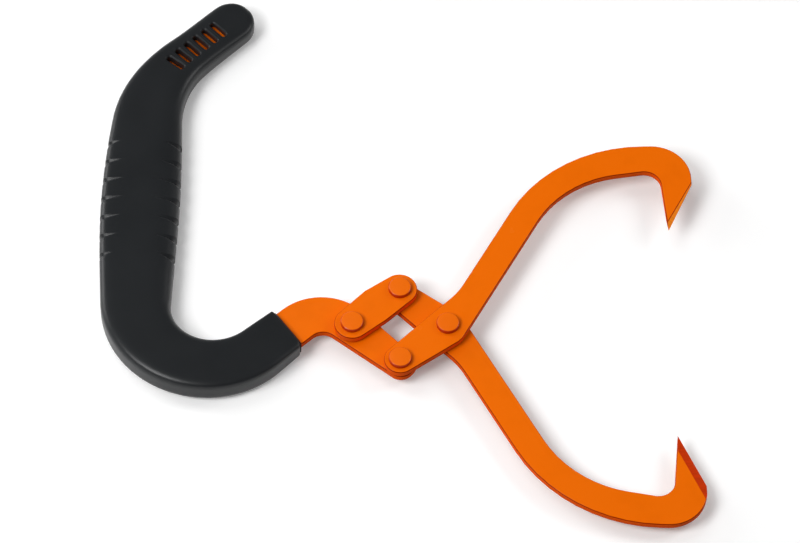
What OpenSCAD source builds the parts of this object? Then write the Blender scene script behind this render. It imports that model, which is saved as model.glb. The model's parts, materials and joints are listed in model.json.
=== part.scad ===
// Log tongs lying flat: the plates are parallel to the floor, the rivets stand upright,
// the grip is at the left (-X) and the two hooks reach to the right (+X).

/* [Linkage] */
// Distance between neighbouring pivots; all four sides of the linkage are this long
link_pitch = 40.5; // [36:0.5:46]
// Angle of each tail to the centre line of the jaws, in the drawn pose
tail_angle = 40.8; // [37:0.2:45]
// Half width of the link at its pivots
link_end_r = 11.3; // [10:0.1:12]
// Distance from the centre of the link to the corner in its upper edge
link_upper_r = 13.4; // [12:0.1:15]
// Distance from the centre of the link to the corner in its lower edge
link_lower_r = 12.2; // [11:0.1:14]

/* [Plates] */
// Thickness of the flat steel plates
plate_t = 5; // [4:0.5:6]
// Thickness of the washers that keep the two layers of plates apart
washer_t = 1; // [0.6:0.1:2]
// Outside diameter of the washers
washer_d = 18; // [17:0.5:19]

/* [Rivets] */
// Diameter of the rivet shanks
shank_d = 8; // [6:0.5:10]
// Diameter of the rivet heads
head_d = 14.6; // [13:0.2:16]
// Height of the rivet heads
head_h = 3.2; // [2:0.2:4]
// Size of the bevel round the rivet heads
head_bevel = 0.5; // [0.2:0.1:1]
// Gap round a shank in the plate that turns on it
running_gap = 0.05; // [0.03:0.01:0.1]
// Gap round the shank that lets the linkage close in every pose
closing_gap = 0.1; // [0.05:0.05:0.2]
// Free play along a rivet between the parts that turn against each other
axial_play = 0.1; // [0.05:0.05:0.2]

/* [Hooks] */
// Half width of a tail at its free end
tail_end_r = 10.2; // [9.5:0.1:12]
// Distance from the main pivot to the inner edge of the tail
hub_inner_r = 12.8; // [11:0.2:15]
// Distance from the main pivot to the outer edge of the tail
hub_outer_r = 14.2; // [12:0.2:16]
// Angle of the straight arm of a hook to the centre line
arm_angle = 60.9; // [57:0.1:64]
// Width of the straight arm
arm_w = 18.9; // [17:0.1:22]
// Distance from the main pivot to the inner edge of the arm
arm_inner_r = 13; // [12:0.1:15]
// Distance from the main pivot to the outer edge of the crown of the hook
crown_rise = 138.8; // [130:0.2:146]
// Width of the crown of the hook before it turns down to the point
crown_w = 20.4; // [17:0.2:24]
// Distance along the centre line from the main pivot to the point
tip_reach = 145; // [138:0.5:152]
// Half of the distance between the two points, in the drawn pose
tip_half_gap = 75; // [70:0.5:82]
// Length of the slanted ground end, from the point to its corner
ground_len = 40; // [35:0.5:44]
// Angle of the ground end to the centre line
ground_angle = 65.4; // [62:0.2:68]
// Width of the wide ground bevel, on one face of the hook
wide_bevel_w = 6; // [3:0.2:7]
// Width of the narrow ground bevel, on the other face of the hook
narrow_bevel_w = 1.7; // [0.6:0.1:2.6]
// Height of the cutting edge above the face with the narrow bevel
edge_h = 1.6; // [1:0.1:2.5]

/* [Handle bar] */
// Width of the bar where it leaves the grip
bar_w = 27.6; // [25:0.2:28.4]
// Distance the bend of the bar is centred behind the rear pivot
bend_back = 18.2; // [16:0.2:21]
// Distance the bend of the bar is centred below the rear pivot
bend_drop = 13.2; // [11:0.2:15]
// Inside radius of the bend of the bar
bend_inner_r = 10; // [8:0.5:13]
// Straight length of bar between the grip and the bend
bar_out = 8.8; // [7:0.2:14]
// Angle of the bar to the centre line where it leaves the grip
neck_angle = 42.4; // [39:0.2:46]
// Distance from the front pivot to the free end of the bar
bar_end_r = 9.6; // [9:0.1:11]
// Distance from the front pivot to the lower edge of the bar
bar_lower_r = 8.8; // [8:0.1:11]
// Distance from the front pivot to the edge that faces the opening in the linkage
bar_opening_r = 11.2; // [10:0.1:13]
// Slope of the lower edge of the bar towards its free end
lower_edge_angle = 37; // [34:0.5:39]
// Slope of the edge of the bar that faces the opening in the linkage
opening_edge_angle = 45; // [43:0.5:48]
// Width of the bar inside the grip
core_w = 20; // [17:0.5:22]
// Length over which the bar narrows inside the grip
core_taper = 12; // [8:1:18]

/* [Grip path] */
// Straight length at the neck of the grip
neck_len = 23.9; // [19:0.1:26]
// Radius of the large lower bend, at the middle of the grip
lower_r = 48; // [44:0.5:54]
// Turn of the large lower bend
lower_bend_angle = 132; // [128:0.5:136]
// Length of the part that the hand holds
hand_len = 139; // [132:1:150]
// Slight turn of the part that the hand holds
hand_bend_angle = 3.4; // [1:0.2:6]
// Radius of the upper bend
upper_r = 85; // [75:1:95]
// Turn of the upper bend
upper_bend_angle = 42; // [38:0.5:46]
// Straight length up to the centre of the round end
top_len = 41; // [36:0.5:46]

/* [Grip section] */
// Width of the grip at the neck
neck_w = 32.6; // [30:0.2:34]
// Width of the grip halfway round the lower bend
bend_w = 38.8; // [36:0.2:42]
// Width of the grip at the lower end of the hand part
low_hand_w = 45.4; // [42:0.2:48]
// Width of the grip in the middle of the hand part
mid_hand_w = 51.4; // [47:0.2:55]
// Width of the grip at the upper end of the hand part
high_hand_w = 46.2; // [42:0.2:49]
// Width of the straight top of the grip
top_w = 31.6; // [29:0.2:34]
// How much wider the grip is at the upper bend than at its straight top
top_flare = 0.8; // [0:0.1:2]
// Thickness of the grip at the neck
neck_t = 13.6; // [12:0.2:16]
// Thickness of the grip halfway round the lower bend
bend_t = 18.8; // [16:0.2:21]
// Thickness of the hand part
hand_t = 20; // [18:0.2:24]
// Thickness of the grip at its round end
top_t = 14; // [12:0.2:17]
// Squareness of the outer side of the cross section: 2 is an ellipse, higher is flatter
outer_squareness = 5.4; // [3:0.1:6]
// Squareness of the inner side of the cross section, which the fingers close round
inner_squareness = 3; // [2.5:0.1:4]
// Bevel round the end of the neck
neck_bevel = 0.8; // [0.4:0.1:1]
// Slant of the end of the neck; it reaches further along the bar on the inner side of the bend
neck_slant = 5.5; // [0:0.5:10]

/* [Finger notches] */
// Number of notches along each side
notch_count = 7; // [3:1:8]
// Distance from one notch to the next
notch_pitch = 14.6; // [12:0.1:15]
// Distance from the start of the hand part to the first notch
notch_start = 34; // [26:0.2:36]
// Depth of the notches at the sides of the grip
notch_depth = 1.9; // [0.8:0.1:3]
// Length of the upper face of a notch, down to its deepest line
notch_wall = 2.6; // [1:0.1:4]
// Length of the lower face of a notch, back up to the surface
notch_slope = 2.4; // [2:0.1:6]
// Half width of the flat band between the middle notches, as a share of the half width
middle_share = 0.32; // [0.2:0.02:0.5]
// Half width of the flat band between the outermost notches, as a share of the half width
outer_share = 0.56; // [0.4:0.02:0.7]
// Shift of the flat band towards the outer side of the grip, as a share of the half width
share_shift = 0.07; // [-0.1:0.01:0.1]

/* [Openings in the grip] */
// Number of windows that show the bar
window_count = 6; // [2:1:7]
// Distance from one window to the next
window_pitch = 8; // [6:0.5:9]
// Distance from the centre of the round end to the first window
window_start = 12; // [9:0.5:15]
// Width of a window
window_w = 3.6; // [2:0.2:4.6]
// Length of a window across the grip
window_len = 14; // [9:0.5:15.5]

/* [Hidden] */
$fn = 64;

orange = "#EC6B00";
dark_orange = "#D95F00";
black = "#25282A";

// Round stretches are drawn in steps of this many degrees
arc_step = 6;
// Rings round the bends of the grip are this many degrees apart
ring_step = 7;
// Points round one cross section of the grip
ring_points = 36;
// Cutting shapes run this far past the faces that they cut
over = 1;
// Smallest length along an edge that counts as one
fit_gap = 0.001;
// Radii that blend the straight stretches of the hooks and of the link
hub_blend_r = 14;
arm_root_blend_r = 45;
crown_outer_r = 104;
crown_inner_r = 74;
throat_r = 11;
shoulder_r = 25;
ground_corner_r = 3;
bar_cap_r = 8.8;
link_blend_r = 9;
// The hand part is widest at this share of its length
widest_share = 0.55;
// The corners in the edges of the link lie this far to either side of its middle
link_corner_shift = 2;
// Angles of the crown of a hook and of the short edges beside its point
crown_outer_angle = 1;
crown_inner_angle = 9.5;
// The top of the crown lies at this share of the reach of the point
crown_share = 0.897;
claw_angle = 95.4;
shoulder_angle = 91;

// Plane geometry: a line is a point and a heading in degrees, and left is positive
function forward(p, a, d) = p + d * [cos(a), sin(a)];
function leftward(p, a, d) = p + d * [-sin(a), cos(a)];
function heading(v) = atan2(v.y, v.x);
function unit(v) = v / norm(v);
function meet(l, m) =
    let (u = [cos(l[1]), sin(l[1])], w = [cos(m[1]), sin(m[1])])
    l[0] + u * cross(m[0] - l[0], w) / cross(u, w);

// The line that passes r1 to the left of centre c1 and r2 to the left of centre c2
function edge_line(c1, r1, c2, r2) =
    let (a = heading(c2 - c1) + asin((r2 - r1) / norm(c2 - c1)))
    [leftward(c1, a, r1), a];

// How far the rounding of corner b, between a and c, reaches along its two edges
function corner_reach(a, b, c, r) = r / tan(acos(unit(a - b) * unit(c - b)) / 2);

// The arc of radius r that rounds the corner b between a and c
function corner_arc(a, b, c, r) =
    let (
        u = unit(a - b),
        w = unit(c - b),
        half = acos(u * w) / 2,
        centre = b + unit(u + w) * r / sin(half),
        first = heading(b + u * r / tan(half) - centre),
        last = heading(b + w * r / tan(half) - centre),
        turn = (last - first + 540) % 360 - 180,
        steps = max(2, ceil(abs(turn) / arc_step))
    )
    [for (i = [0:steps]) forward(centre, first + turn * i / steps, r)];

// An outline from corners given as [point, radius]; two roundings that share an edge too
// short for both are drawn smaller by the same factor
function rounded(corners) =
    let (
        n = len(corners),
        at = [for (c = corners) c[0]],
        reach = [for (i = [0:n - 1])
            corner_reach(at[(i + n - 1) % n], at[i], at[(i + 1) % n], corners[i][1])],
        room = [for (i = [0:n - 1])
            norm(at[(i + 1) % n] - at[i]) / max(fit_gap, reach[i] + reach[(i + 1) % n])]
    )
    [for (i = [0:n - 1])
        let (r = corners[i][1] * min(1, room[i], room[(i + n - 1) % n]))
        each r > 0 ? corner_arc(at[(i + n - 1) % n], at[i], at[(i + 1) % n], r) : [at[i]]];

// A smooth curve through the knots [place, value], level wherever it stops rising or falling
function rise(a, b) = (b[1] - a[1]) / (b[0] - a[0]);
function knot_slope(knots, i) =
    i == 0 ? rise(knots[0], knots[1])
    : i == len(knots) - 1 ? rise(knots[i - 1], knots[i])
    : rise(knots[i - 1], knots[i]) * rise(knots[i], knots[i + 1]) <= 0 ? 0
    : rise(knots[i - 1], knots[i + 1]);
function smooth(knots, s) =
    let (
        i = max([0, for (k = [0:len(knots) - 2]) if (s >= knots[k][0]) k]),
        a = knots[i],
        b = knots[i + 1],
        gap = b[0] - a[0],
        t = max(0, min(1, (s - a[0]) / gap))
    )
    a[1] * (1 + 2 * t) * pow(1 - t, 2) + b[1] * (3 - 2 * t) * pow(t, 2)
        + gap * t * (1 - t) * (knot_slope(knots, i) * (1 - t) - knot_slope(knots, i + 1) * t);

// Pivots, with the main pivot of the two hooks at zero
main_pivot = [0, 0];
front_pivot = forward(main_pivot, 180 + tail_angle, link_pitch);
link_pivot = [front_pivot.x, -front_pivot.y];
rear_pivot = [2 * front_pivot.x, 0];

// Heights: the grip rests on the floor and the bar runs through its middle
back_z = hand_t / 2 - plate_t / 2;
back_top = back_z + plate_t;
front_z = back_top + washer_t + axial_play;
front_top = front_z + plate_t;

// Outline of a hook, drawn as the upper one
tail_outer = edge_line(front_pivot, -tail_end_r, main_pivot, -hub_outer_r);
tail_inner = edge_line(front_pivot, tail_end_r, main_pivot, hub_inner_r);
tail_cap = [forward(front_pivot, 180 + tail_angle, tail_end_r), tail_angle + 90];
arm_inner = [leftward(main_pivot, arm_angle, -arm_inner_r), arm_angle];
arm_outer = [leftward(main_pivot, arm_angle, arm_w - arm_inner_r), arm_angle];
crown_outer = [leftward(main_pivot, crown_outer_angle, crown_rise), crown_outer_angle];
tip = [tip_reach, tip_half_gap];
crown_top = meet(crown_outer, [[tip_reach * crown_share, 0], 90]);
crown_inner = [crown_top - [0, crown_w], crown_inner_angle];
claw = [tip, claw_angle];
ground_corner = forward(tip, ground_angle, ground_len);
shoulder = [ground_corner, shoulder_angle];
hook_outline = rounded([
    [meet(tail_inner, tail_cap), tail_end_r],
    [meet(tail_cap, tail_outer), tail_end_r],
    [meet(tail_outer, arm_inner), hub_blend_r],
    [meet(arm_inner, crown_inner), crown_inner_r],
    [meet(crown_inner, claw), throat_r],
    [tip, 0],
    [ground_corner, ground_corner_r],
    [meet(shoulder, crown_outer), shoulder_r],
    [meet(crown_outer, arm_outer), crown_outer_r],
    [meet(arm_outer, tail_inner), arm_root_blend_r]]);

// Outline of the link along the X axis, from the rear pivot at zero
link_end = [link_pitch, 0];
link_cap_rear = [[-link_end_r, 0], 90];
link_cap_front = [[link_pitch + link_end_r, 0], 90];
link_top = [link_pitch / 2 + link_corner_shift, link_upper_r];
link_bottom = [link_pitch / 2 - link_corner_shift, -link_lower_r];
// The line from p that passes r to the left of centre c
function tangent_from(p, c, r) = [p, heading(c - p) + asin(r / norm(c - p))];
top_to_rear = tangent_from(link_top, [0, 0], -link_end_r);
top_to_front = tangent_from(link_top, link_end, link_end_r);
bottom_to_rear = tangent_from(link_bottom, [0, 0], link_end_r);
bottom_to_front = tangent_from(link_bottom, link_end, -link_end_r);
link_outline = rounded([
    [meet(link_cap_rear, top_to_rear), link_end_r],
    [link_top, link_blend_r],
    [meet(top_to_front, link_cap_front), link_end_r],
    [meet(link_cap_front, bottom_to_front), link_end_r],
    [link_bottom, link_blend_r],
    [meet(bottom_to_rear, link_cap_rear), link_end_r]]);

// Centre line of the grip, from the neck to the round end, in stretches of [length, turn]
bend_r = bend_inner_r + bar_w / 2;
bend_centre = rear_pivot - [bend_back, bend_drop];
neck_end = forward(leftward(bend_centre, neck_angle, bend_r), neck_angle, -bar_out);
function arc_len(r, turn) = r * turn * PI / 180;
stretches = [
    [neck_len, 0],
    [arc_len(lower_r, lower_bend_angle), -lower_bend_angle],
    [hand_len, -hand_bend_angle],
    [arc_len(upper_r, upper_bend_angle), -upper_bend_angle],
    [top_len, 0]];
function step_on(p, a, len, turn) =
    abs(turn) < 0.001 ? forward(p, a, len)
    : forward(p, a + turn / 2, len * sin(turn / 2) / (turn / 2 * PI / 180));
knot = [for (i = 0, s = 0, p = neck_end, a = neck_angle + 180; i <= len(stretches);
    p = i < len(stretches) ? step_on(p, a, stretches[i][0], stretches[i][1]) : p,
    s = i < len(stretches) ? s + stretches[i][0] : s,
    a = i < len(stretches) ? a + stretches[i][1] : a,
    i = i + 1) [s, p, a]];
path_len = knot[len(stretches)][0];
function on_path(s) =
    let (
        i = max([0, for (k = [0:len(stretches) - 1]) if (s >= knot[k][0]) k]),
        share = (s - knot[i][0]) / stretches[i][0],
        turn = stretches[i][1] * share
    )
    [step_on(knot[i][1], knot[i][2], s - knot[i][0], turn), knot[i][2] + turn];

// Half width and half thickness along the grip
lower_mid = (knot[1][0] + knot[2][0]) / 2;
hand_mid = knot[2][0] + hand_len * widest_share;
width_knots = [
    [0, neck_w / 2],
    [lower_mid, bend_w / 2],
    [knot[2][0], low_hand_w / 2],
    [hand_mid, mid_hand_w / 2],
    [knot[3][0], high_hand_w / 2],
    [knot[4][0], (top_w + top_flare) / 2],
    [path_len, top_w / 2]];
thickness_knots = [
    [0, neck_t / 2],
    [knot[1][0], (neck_t + bend_t) / 4],
    [lower_mid, bend_t / 2],
    [knot[2][0], hand_t / 2],
    [knot[3][0], hand_t / 2],
    [knot[4][0], (hand_t + top_t) / 4],
    [path_len, top_t / 2]];

// One point of a cross section: [across, up]. Its outer side has across above 0
function squareness_at(x) = x > 0 ? outer_squareness : inner_squareness;
function squared(c, n) = sign(c) * pow(abs(c), 2 / n);
function section_point(w, t, a) =
    let (n = squareness_at(cos(a)))
    [w * squared(cos(a), n), t * squared(sin(a), n)];
function section_normal(w, t, q) =
    let (
        e = squareness_at(q.x) - 1,
        g = [sign(q.x) * pow(abs(q.x) / w, e) / w, sign(q.y) * pow(abs(q.y) / t, e) / t]
    )
    unit(g);

// Depth of the notches at place s along the grip and share u of the half width: each is a
// groove that starts as a point beside the flat band and grows towards the side
first_notch = knot[2][0] + notch_start;
last_notch = first_notch + (notch_count - 1) * notch_pitch;
function reach(k) =
    let (off = (2 * k - notch_count + 1) / (notch_count - 1))
    middle_share + (outer_share - middle_share) * pow(off, 2);
function notch_at(s, u) =
    max([0, for (k = [0:notch_count - 1])
        let (
            back = first_notch + k * notch_pitch - s,
            share = max(0, (abs(u - share_shift) - reach(k)) / (1 - reach(k)))
        )
        if (back > 0)
            min(back * notch_depth / notch_wall,
                notch_depth * (share - (back - notch_wall * share) / notch_slope))]);

// Rings of the grip: places along the path, and how much each ring is drawn in
bend_rings = ceil(lower_bend_angle / ring_step);
upper_rings = ceil(upper_bend_angle / ring_step);
ring_places = [
    neck_bevel,
    neck_len / 2,
    for (i = [0:bend_rings - 1]) knot[1][0] + (knot[2][0] - knot[1][0]) * i / bend_rings,
    for (i = [0:2]) knot[2][0] + (notch_start - notch_wall - notch_slope) * i / 3,
    for (k = [0:notch_count - 1])
        each [for (back = [notch_wall + notch_slope, notch_wall + notch_slope * 0.4,
                notch_wall, notch_wall * 0.5, 0])
            first_notch + k * notch_pitch - back],
    (last_notch + knot[3][0]) / 2,
    for (i = [0:upper_rings]) knot[3][0] + (knot[4][0] - knot[3][0]) * i / upper_rings,
    knot[4][0] + top_len / 2];
end_angles = [0, 15, 30, 45, 57, 68, 77, 84, 88];
// Rings between the notches lie side by side, so that the notches are parallel, and the slant
// of the end fades out along the neck
function ring(s, shrink) =
    let (
        at = on_path(s),
        slant = neck_slant * max(0, 1 - s / neck_len),
        across = s > knot[2][0] && s <= last_notch ? knot[2][2] : at[1] - slant,
        w = smooth(width_knots, s) - shrink,
        t = smooth(thickness_knots, s) - shrink
    )
    [for (i = [0:ring_points - 1])
        let (
            q = section_point(w, t, 360 * i / ring_points),
            d = notch_at(s, q.x / w),
            r = d > 0 ? q - d * section_normal(w, t, q) : q,
            p = leftward(at[0], across, r.x)
        )
        [p.x, p.y, r.y]];
function end_ring(a) =
    let (
        w = top_w / 2,
        at = forward(knot[5][1], knot[5][2], w * sin(a)),
        n = inner_squareness,
        t = top_t / 2 * pow(1 - pow(sin(a), n), 1 / n)
    )
    [for (i = [0:ring_points - 1])
        let (
            q = section_point(w * cos(a), t, 360 * i / ring_points),
            p = leftward(at, knot[5][2], q.x)
        )
        [p.x, p.y, q.y]];
rings = [ring(0, neck_bevel), for (s = ring_places) ring(s, 0), for (a = end_angles) end_ring(a)];

// Plan extents, which put the origin at the bottom centre of the whole object
grip_plan = [for (r = rings) each [for (p = r) [p.x, p.y]]];
x_values = [for (p = concat(grip_plan, hook_outline)) p.x];
y_values = [for (p = grip_plan) p.y, for (p = hook_outline) each [p.y, -p.y]];
x_mid = (min(x_values) + max(x_values)) / 2;
y_mid = (min(y_values) + max(y_values)) / 2;

module placed(z = 0) {
    translate([-x_mid, -y_mid, z]) children();
}

module bore(p, d) {
    translate([p.x, p.y, -over]) cylinder(d = d, h = plate_t + 2 * over);
}

// A cutter that takes the triangle under a bevel off the ground end of a hook
module bevel_cutter(w, h) {
    across = atan2(h, w);
    translate([tip.x, tip.y, 0]) rotate([0, 0, ground_angle]) rotate([90, 0, 90])
        linear_extrude(height = 4 * ground_len, center = true)
            polygon([[-over, -over], [-over, h + over * tan(across)], [0, h], [w, 0],
                [w + over / tan(across), -over]]);
}

// One hook with its narrow bevel on the upper face
module hook(tail_bore_d, main_bore_d) {
    difference() {
        linear_extrude(height = plate_t) polygon(hook_outline);
        bore(front_pivot, tail_bore_d);
        bore(main_pivot, main_bore_d);
        bevel_cutter(wide_bevel_w, plate_t - edge_h);
        translate([0, 0, plate_t]) mirror([0, 0, 1]) bevel_cutter(narrow_bevel_w, edge_h);
    }
}

module upper_hook() {
    color(orange) placed(front_z) hook(shank_d + 2 * running_gap, shank_d);
}

module lower_hook() {
    color(dark_orange) placed(back_top) rotate([180, 0, 0])
        hook(shank_d + 2 * closing_gap, shank_d + 2 * running_gap);
}

module link() {
    color(orange) placed(front_z) translate([rear_pivot.x, rear_pivot.y, 0])
        rotate([0, 0, heading(link_pivot - rear_pivot)])
            difference() {
                linear_extrude(height = plate_t) polygon(link_outline);
                bore([0, 0], shank_d + 2 * running_gap);
                bore(link_end, shank_d);
            }
}

// The bar runs from the free end of its tail through the bend and into the grip
neck_upper = [leftward(neck_end, neck_angle, bar_w / 2), neck_angle];
neck_lower = [leftward(neck_end, neck_angle, -bar_w / 2), neck_angle];
opening_edge = [leftward(front_pivot, -opening_edge_angle, bar_opening_r), -opening_edge_angle];
lower_edge = [leftward(front_pivot, -lower_edge_angle, -bar_lower_r), -lower_edge_angle];
cap_angle = -(opening_edge_angle + lower_edge_angle) / 2;
bar_cap = [forward(front_pivot, cap_angle, bar_end_r), cap_angle - 90];
core_steps = [
    core_taper,
    for (i = [0:bend_rings]) knot[1][0] + (knot[2][0] - knot[1][0]) * i / bend_rings,
    for (i = [1:3]) knot[2][0] + hand_len * i / 3,
    for (i = [1:upper_rings]) knot[3][0] + (knot[4][0] - knot[3][0]) * i / upper_rings,
    path_len];
core_left = [for (s = core_steps) let (at = on_path(s)) leftward(at[0], at[1], core_w / 2)];
core_right = [for (s = core_steps) let (at = on_path(s)) leftward(at[0], at[1], -core_w / 2)];
core_end = [for (i = [1:15])
    forward(knot[5][1], knot[5][2] + 90 - 180 * i / 16, core_w / 2)];
bar_corners = rounded([
    [leftward(neck_end, neck_angle, bar_w / 2), 0],
    [meet(neck_upper, opening_edge), bend_inner_r + bar_w],
    [meet(opening_edge, bar_cap), bar_cap_r],
    [meet(bar_cap, lower_edge), bar_cap_r],
    [meet(lower_edge, neck_lower), bend_inner_r],
    [leftward(neck_end, neck_angle, -bar_w / 2), 0]]);
bar_outline = concat(bar_corners, core_left, core_end,
    [for (i = [len(core_right) - 1:-1:0]) core_right[i]]);

module bar_blank() {
    linear_extrude(height = plate_t) polygon(bar_outline);
}

module handle_bar() {
    color(orange) placed(back_z) difference() {
        bar_blank();
        bore(rear_pivot, shank_d);
        bore(front_pivot, shank_d);
    }
}

// The grip is swept through its rings, and closed by a fan at each end
module grip_body() {
    m = ring_points;
    last = len(rings) - 1;
    tip_point = forward(knot[5][1], knot[5][2], top_w / 2);
    points = [each [for (r = rings) each r], [neck_end.x, neck_end.y, 0], [tip_point.x, tip_point.y, 0]];
    neck_hub = len(points) - 2;
    tip_hub = len(points) - 1;
    faces = [
        for (i = [0:m - 1]) [neck_hub, i, (i + 1) % m],
        for (r = [0:last - 1], i = [0:m - 1])
            let (a = r * m + i, b = r * m + (i + 1) % m)
            each [[a, a + m, b + m], [a, b + m, b]],
        for (i = [0:m - 1]) [tip_hub, last * m + (i + 1) % m, last * m + i]];
    polyhedron(points, faces, convexity = 6);
}

// A slot with round ends across the grip, centred at distance back from the round end
module window(back) {
    at = on_path(path_len - back);
    translate([at[0].x, at[0].y, plate_t / 2]) rotate([0, 0, at[1] + 90])
        linear_extrude(height = hand_t) {
            square([window_len - window_w, window_w], center = true);
            for (side = [-1, 1])
                translate([side * (window_len - window_w) / 2, 0]) circle(d = window_w);
        }
}

module grip() {
    color(black) placed(hand_t / 2) difference() {
        grip_body();
        translate([0, 0, -plate_t / 2]) bar_blank();
        for (i = [0:window_count - 1]) window(window_start + i * window_pitch);
    }
}

// A rivet through both layers, with a flat head on each side; the play is at the head
// on the plate that turns
module rivet(p, play_below = 0) {
    length = front_top - back_z + axial_play;
    color(orange) placed(back_z - play_below) translate([p.x, p.y, 0]) {
        cylinder(d = shank_d, h = length);
        translate([0, 0, length]) rivet_head();
        mirror([0, 0, 1]) rivet_head();
    }
}

module rivet_head() {
    rotate_extrude() polygon([[0, 0], [head_d / 2, 0], [head_d / 2, head_h - head_bevel],
        [head_d / 2 - head_bevel, head_h], [0, head_h]]);
}

module rear_rivet() {
    rivet(rear_pivot);
}

module link_rivet() {
    rivet(link_pivot, axial_play);
}

module main_rivet() {
    rivet(main_pivot, axial_play);
}

module front_rivet() {
    rivet(front_pivot);
}

// A washer lies on the back plate, round the shank
module washer(p) {
    color(dark_orange) placed(back_top) translate([p.x, p.y, 0]) difference() {
        cylinder(d = washer_d, h = washer_t);
        translate([0, 0, -over])
            cylinder(d = shank_d + 2 * running_gap, h = washer_t + 2 * over);
    }
}

module rear_washer() {
    washer(rear_pivot);
}

module link_washer() {
    washer(link_pivot);
}

module main_washer() {
    washer(main_pivot);
}

module front_washer() {
    washer(front_pivot);
}

handle_bar();
grip();
link();
upper_hook();
lower_hook();
rear_rivet();
link_rivet();
main_rivet();
front_rivet();
rear_washer();
link_washer();
main_washer();
front_washer();
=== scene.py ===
# %% [markdown]
# Log tongs with a moulded grip
# The real tool is a flat steel bar that carries a black grip, a short link and two hooks. Four
# rivets join them into a scissor linkage, so the hooks bite harder as the grip is pulled. The
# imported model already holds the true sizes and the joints. This script loads it as a fixed frame
# and dresses each piece: stamped plates get the soft edges that the press and the coating leave,
# rivets are turned, and the grip is swept again with finer rings.

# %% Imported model
import json
import math

import bmesh
import bpy
from mathutils import Matrix, Vector
from mathutils.geometry import tessellate_polygon


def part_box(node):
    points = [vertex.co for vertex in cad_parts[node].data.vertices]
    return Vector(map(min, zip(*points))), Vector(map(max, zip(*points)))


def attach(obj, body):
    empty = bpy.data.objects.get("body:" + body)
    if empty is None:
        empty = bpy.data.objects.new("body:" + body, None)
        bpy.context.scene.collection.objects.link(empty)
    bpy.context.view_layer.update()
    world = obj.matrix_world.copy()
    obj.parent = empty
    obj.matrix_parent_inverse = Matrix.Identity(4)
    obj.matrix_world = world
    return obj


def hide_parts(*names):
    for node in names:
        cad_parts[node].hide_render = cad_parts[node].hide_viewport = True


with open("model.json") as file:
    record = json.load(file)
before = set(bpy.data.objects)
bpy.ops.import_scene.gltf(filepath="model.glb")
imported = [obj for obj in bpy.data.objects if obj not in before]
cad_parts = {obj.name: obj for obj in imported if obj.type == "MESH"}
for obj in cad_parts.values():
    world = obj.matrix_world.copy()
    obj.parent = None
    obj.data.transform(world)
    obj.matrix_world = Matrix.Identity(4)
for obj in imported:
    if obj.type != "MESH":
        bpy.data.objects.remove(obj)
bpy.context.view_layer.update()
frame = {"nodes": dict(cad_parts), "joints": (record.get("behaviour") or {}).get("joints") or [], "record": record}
print("pieces in the frame:", len(frame["nodes"]))

# %% [markdown]
# Units and pivots
# Blender works in metres, and a tool like this is thought of in millimetres. So sizes are named
# in millimetres here and turned to metres in one place, where a mesh is made. The four pivots
# stand at the corners of a rhombus: three of them are joints of the frame, and the fourth closes
# the rhombus.

# %% Millimetres, pivots and plate heights
MM = 0.001


def pivot_of(joint_name):
    """The plan position of a joint of the frame, in mm."""
    found = next(j for j in frame["joints"] if j["name"] == joint_name)
    return Vector(found["pos_m"][:2]) / MM


rear_pivot = pivot_of("link_swing")
front_pivot = pivot_of("jaw_swing")
main_pivot = pivot_of("hook_cross")
link_pivot = rear_pivot + main_pivot - front_pivot
back_bottom, back_top = (corner.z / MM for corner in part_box("handle_bar"))
front_bottom, front_top = (corner.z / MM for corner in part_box("link"))
print("link pivot", [round(v, 2) for v in link_pivot], "front plates at", round(front_bottom, 2))

# %% [markdown]
# Camera
# The photograph looks down on the tool from in front with a long lens, so parallel edges stay
# nearly parallel. The camera is set by the point it looks at, its distance, and three angles,
# and comes before the pieces, so that every later look at the picture is from the same place.

# %% Camera
LENS = 172.87
SENSOR_WIDTH = 36
CLIP_END = 50
AIM_FROM_PIVOT = (-30.39, 39.76)
DISTANCE = 2477.7
ELEVATION = math.radians(57)
TURN = math.radians(3.133)
ROLL = math.radians(-3.393)

aim = Vector((*(main_pivot + Vector(AIM_FROM_PIVOT)), front_top))
along_floor = Vector((math.sin(TURN), math.cos(TURN), 0))
level_right = Vector((math.cos(TURN), -math.sin(TURN), 0))
forward_view = along_floor * math.cos(ELEVATION) - Vector((0, 0, math.sin(ELEVATION)))
level_up = along_floor * math.sin(ELEVATION) + Vector((0, 0, math.cos(ELEVATION)))
right = level_right * math.cos(ROLL) - level_up * math.sin(ROLL)
up = level_right * math.sin(ROLL) + level_up * math.cos(ROLL)
camera = bpy.data.objects.new("camera", bpy.data.cameras.new("camera"))
camera.data.lens = LENS
camera.data.sensor_fit = "HORIZONTAL"
camera.data.sensor_width = SENSOR_WIDTH
camera.data.clip_end = CLIP_END
turned = Matrix((right, up, -forward_view)).transposed().to_4x4()
camera.matrix_world = Matrix.Translation((aim - forward_view * DISTANCE) * MM) @ turned
bpy.context.scene.collection.objects.link(camera)
bpy.context.scene.camera = camera
print("camera at", [round(v, 3) for v in camera.matrix_world.translation])

# %% [markdown]
# Helpers for materials
# Paint and plastic colours are known as sRGB hex values, the way a colour picker shows them,
# while a shader works with linear light. One function turns one into the other, and one adds a
# node with its settings and links, which keeps each material short enough to read at a glance.

# %% Colour and node helpers


def linear(hex_colour):
    """An sRGB hex colour as the linear red, green, blue and alpha of a shader socket."""
    shares = [int(hex_colour[i:i + 2], 16) / 255 for i in (1, 3, 5)]
    return [c / 12.92 if c <= 0.04045 else ((c + 0.055) / 1.055) ** 2.4 for c in shares] + [1]


def add_node(tree, kind, inputs=None, **settings):
    """Adds a node. An input is a value for that socket, or another node's output to link."""
    made = tree.nodes.new(kind)
    for name, value in settings.items():
        setattr(made, name, value)
    for name, value in (inputs or {}).items():
        if isinstance(value, bpy.types.NodeSocket):
            tree.links.new(value, made.inputs[name])
        else:
            made.inputs[name].default_value = value
    return made


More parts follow.
